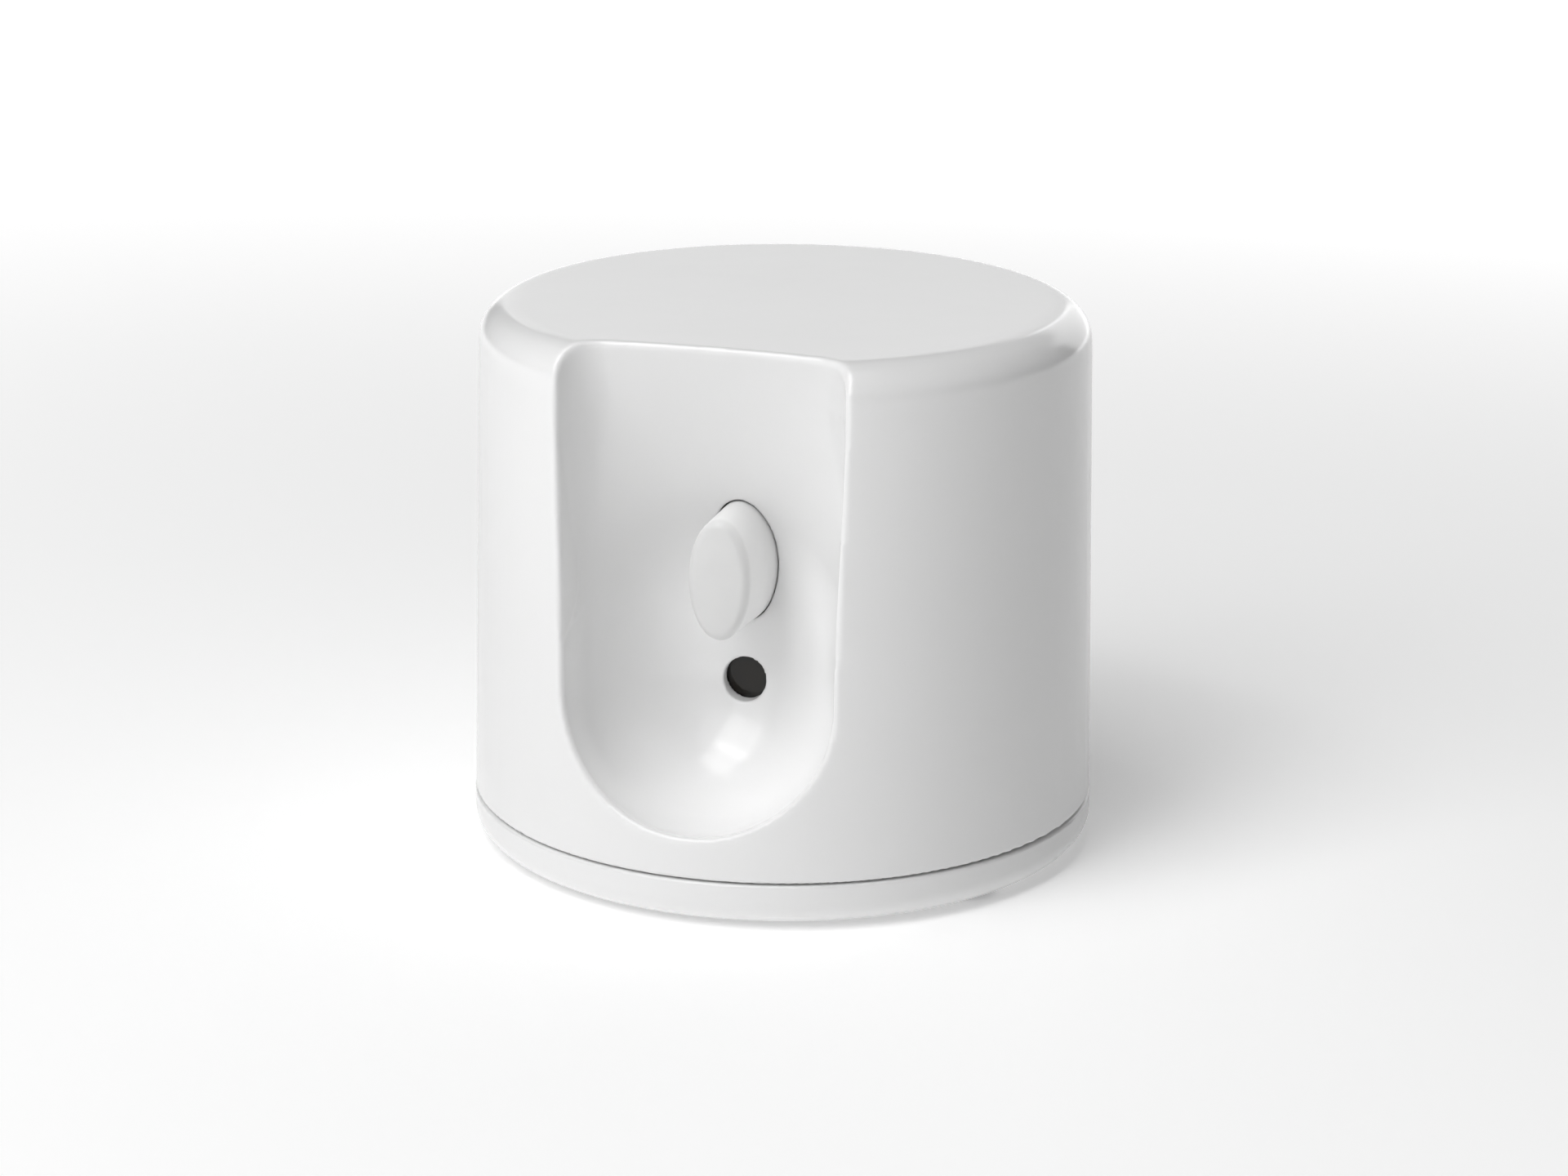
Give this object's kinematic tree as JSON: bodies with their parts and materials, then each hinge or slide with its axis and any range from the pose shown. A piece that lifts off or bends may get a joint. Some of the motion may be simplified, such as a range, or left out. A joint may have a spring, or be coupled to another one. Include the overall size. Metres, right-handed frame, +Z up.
{
  "type": "cylindrical weather sensor head",
  "caption": "White cylindrical sensor head with a thumb scoop holding an oval push button and a round sensor port, a seamed base cover and a tripod socket.",
  "frame": {"origin": "middle of the resting plane, under the foot pads", "axes": "+Z up along the body axis; the scoop opens towards -Y; +X to the right seen from the scoop"},
  "size_m": [0.0814, 0.0814, 0.071],
  "materials": {
    "white_abs": "glossy white moulded ABS",
    "white_base": "glossy white moulded ABS",
    "button_white": "slightly translucent white moulding",
    "black_rubber": "matt black elastomer",
    "steel": "bright zinc-plated steel",
    "brass": "machined brass",
    "black_plastic": "matt black moulding",
    "smoked_window": "smoked infrared window",
    "pcb_green": "glass-epoxy board with green mask",
    "tin_can": "tinned shield can",
    "ceramic_white": "ceramic or nylon part",
    "cap_sleeve": "dark sleeve",
    "led_clear": "clear epoxy lens",
    "cell_jacket": "plain printed jacket",
    "spring_steel": "spring wire"
  },
  "bodies": {
    "case": {"housing": "white_abs", "base_cover": "white_base", "base_seal": "black_rubber", "base_screws": "steel", "tripod_insert": "brass", "foot_pads": "black_rubber", "button_seal": "black_rubber", "button_spring": "spring_steel", "button_guide": "black_plastic", "guide_screws": "steel", "switch_body": "black_plastic", "sensor_window": "smoked_window", "sensor_seal": "black_rubber", "sensor_holder": "black_plastic", "sensor_chip": "tin_can", "sensor_board": "pcb_green", "sensor_header": "ceramic_white", "main_board": "pcb_green", "board_screws": "steel", "radio_module": "tin_can", "antenna": "ceramic_white", "pressure_sensor": "tin_can", "capacitor": "cap_sleeve", "crystal": "tin_can", "status_led": "led_clear", "battery_holder": "black_plastic", "holder_screws": "steel", "battery_cells": "cell_jacket", "contact_plates": "spring_steel", "contact_springs": "spring_steel"},
    "button": {"button_cap": "button_white"},
    "plunger": {"switch_plunger": "ceramic_white"}
  },
  "joints": [
    {"name": "button_press", "type": "slide", "parent": "case", "child": "button", "axis": [0, 1, 0], "range_m": [0, 0.0025], "stiffness_N_per_m": 300, "springref_m": -0.002, "deforming": ["button_spring"]},
    {"name": "switch_travel", "type": "slide", "parent": "case", "child": "plunger", "axis": [0, 1, 0], "range_m": [0, 0.0025]}
  ],
  "couplings": [
    {"joint": "switch_travel", "follows": "button_press", "ratio": 1}
  ]
}
